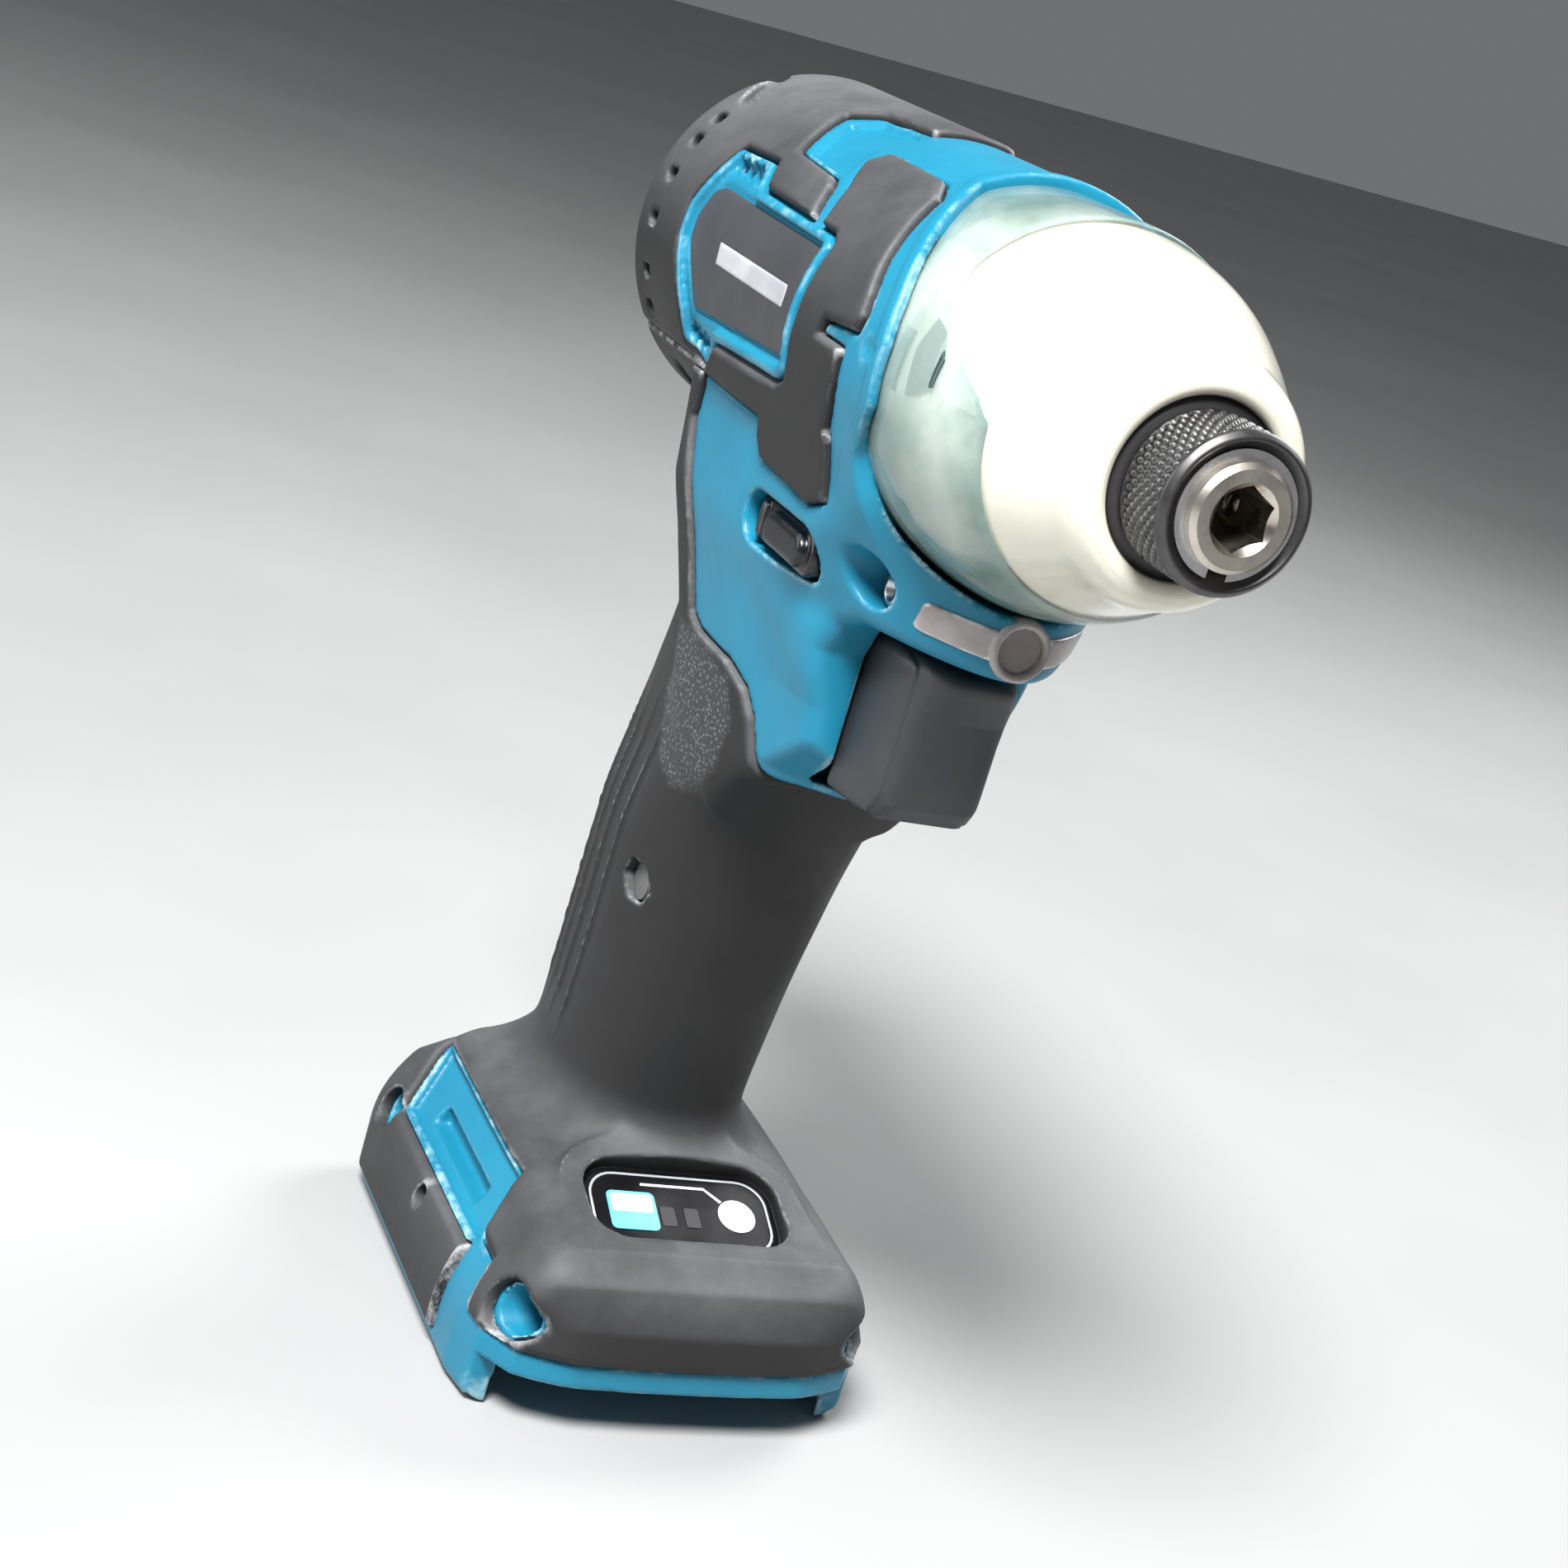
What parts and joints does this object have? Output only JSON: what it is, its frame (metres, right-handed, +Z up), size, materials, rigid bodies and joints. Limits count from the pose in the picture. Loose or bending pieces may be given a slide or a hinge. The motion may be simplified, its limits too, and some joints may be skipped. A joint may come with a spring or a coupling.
{
  "type": "cordless impact driver",
  "caption": "Compact pistol-grip impact driver without its battery: two-part shell with soft grip, ogive nose cover, knurled quick-change bit sleeve, trigger and direction lever.",
  "frame": {"origin": "middle of the base plane that the battery rails stand on, half way along the whole length and on the split plane of the shell", "axes": "+X along the drive axis to the nose, +Y to the tool's left, +Z up from the base to the head"},
  "size_m": [0.135, 0.06, 0.1771],
  "materials": {
    "teal_shell": "moulded glass-filled nylon, fine spark texture",
    "soft_grip": "soft overmoulded elastomer, matt, worn",
    "blank_plate": "dark grey printed film, left blank",
    "cast_case": "die cast",
    "cream_cover": "glossy ivory moulding",
    "clear_film": "clear greenish plastic",
    "bronze": "sintered bronze",
    "dark_steel": "black oxide",
    "steel": "ground bright steel",
    "bearing_steel": "ground and polished",
    "black_plastic": "moulded nylon",
    "magnet": "sintered ferrite",
    "carbon": "pressed carbon",
    "brown_plastic": "phenolic",
    "trigger_grey": "matt nylon",
    "gloss_black": "polished",
    "white_film": "white printed film, left blank",
    "board": "epoxy board",
    "lens": "clear polycarbonate, scuffed",
    "brass": "turned",
    "red_wire": "silicone insulation",
    "copper": "enamelled copper on laminated iron",
    "commutator_copper": "turned copper",
    "fan_plastic": "natural nylon",
    "grey_plug": "matt elastomer",
    "sleeve_black": "knurled, black oxide, worn",
    "anvil_steel": "hardened, oiled",
    "gear_steel": "hobbed and hardened"
  },
  "bodies": {
    "tool": {"housing_right": "teal_shell", "housing_left": "teal_shell", "grip_right": "soft_grip", "grip_left": "soft_grip", "head_bumper_right": "soft_grip", "head_bumper_left": "soft_grip", "name_plate": "blank_plate", "hammer_case": "cast_case", "nose_cover": "cream_cover", "clear_cover": "clear_film", "anvil_bush": "bronze", "ring_gear": "gear_steel", "gear_plate": "black_plastic", "spindle_bearing": "bearing_steel", "front_bearing": "bearing_steel", "rear_bearing": "bearing_steel", "motor_can": "steel", "field_magnets": "magnet", "brush_holder": "brown_plastic", "carbon_brushes": "carbon", "switch_body": "black_plastic", "led_lens": "lens", "led_board": "board", "control_panel": "gloss_black", "panel_board": "board", "terminal_block": "black_plastic", "terminals": "brass", "battery_leads": "red_wire", "housing_screws": "steel", "case_screws": "steel", "hook_nut": "brass", "grip_plug": "grey_plug", "trigger_spring": "steel"},
    "trigger": {"trigger": "trigger_grey", "trigger_rod": "steel"},
    "direction_lever": {"direction_lever": "gloss_black"},
    "mode_button": {"mode_button": "white_film"},
    "spindle": {"spindle": "steel", "planet_pins": "steel", "spring_washer": "steel", "hammer_spring": "dark_steel", "cam_balls": "bearing_steel"},
    "planet_1": {"planet_gear_1": "gear_steel"},
    "planet_2": {"planet_gear_2": "gear_steel"},
    "planet_3": {"planet_gear_3": "gear_steel"},
    "hammer": {"hammer": "dark_steel"},
    "anvil": {"anvil": "anvil_steel", "detent_balls": "bearing_steel", "sleeve_spring": "steel", "sleeve_washer": "steel", "retaining_ring": "steel"},
    "bit_sleeve": {"bit_sleeve": "sleeve_black"},
    "armature": {"armature_core": "copper", "commutator": "commutator_copper", "motor_shaft": "steel", "pinion": "gear_steel", "cooling_fan": "fan_plastic"}
  },
  "joints": [
    {"name": "spindle_spin", "type": "hinge", "parent": "tool", "child": "spindle", "pos_m": [0, 0, 0.1525], "axis": [1, 0, 0], "continuous": true},
    {"name": "anvil_spin", "type": "hinge", "parent": "tool", "child": "anvil", "pos_m": [0, 0, 0.1525], "axis": [1, 0, 0], "continuous": true},
    {"name": "motor_spin", "type": "hinge", "parent": "tool", "child": "armature", "pos_m": [0, 0, 0.1525], "axis": [1, 0, 0], "continuous": true},
    {"name": "planet_1_spin", "type": "hinge", "parent": "spindle", "child": "planet_1", "pos_m": [0, 0, 0.142], "axis": [1, 0, 0], "continuous": true},
    {"name": "planet_2_spin", "type": "hinge", "parent": "spindle", "child": "planet_2", "pos_m": [0, 0.00909, 0.15775], "axis": [1, 0, 0], "continuous": true},
    {"name": "planet_3_spin", "type": "hinge", "parent": "spindle", "child": "planet_3", "pos_m": [0, -0.00909, 0.15775], "axis": [1, 0, 0], "continuous": true},
    {"name": "hammer_slide", "type": "slide", "parent": "spindle", "child": "hammer", "axis": [-1, 0, 0], "range_m": [0, 0.0048], "stiffness_N_per_m": 9000, "springref_m": -0.002, "deforming": ["hammer_spring"]},
    {"name": "sleeve_slide", "type": "slide", "parent": "anvil", "child": "bit_sleeve", "axis": [1, 0, 0], "range_m": [0, 0.0025], "stiffness_N_per_m": 900, "springref_m": -0.001, "deforming": ["sleeve_spring"]},
    {"name": "trigger_slide", "type": "slide", "parent": "tool", "child": "trigger", "axis": [-1, 0, 0], "range_m": [0, 0.0055], "stiffness_N_per_m": 900, "springref_m": -0.003, "deforming": ["trigger_spring"]},
    {"name": "direction_slide", "type": "slide", "parent": "tool", "child": "direction_lever", "axis": [0, 1, 0], "range_m": [-0.0025, 0.0025]},
    {"name": "mode_press", "type": "slide", "parent": "tool", "child": "mode_button", "axis": [-0.3746, 0, -0.9272], "range_m": [0, 0.0004], "stiffness_N_per_m": 2500, "springref_m": -0.0001}
  ],
  "couplings": [
    {"joint": "anvil_spin", "follows": "spindle_spin", "ratio": 1},
    {"joint": "motor_spin", "follows": "spindle_spin", "ratio": 5},
    {"joint": "planet_1_spin", "follows": "spindle_spin", "ratio": -2.6667},
    {"joint": "planet_2_spin", "follows": "spindle_spin", "ratio": -2.6667},
    {"joint": "planet_3_spin", "follows": "spindle_spin", "ratio": -2.6667}
  ]
}
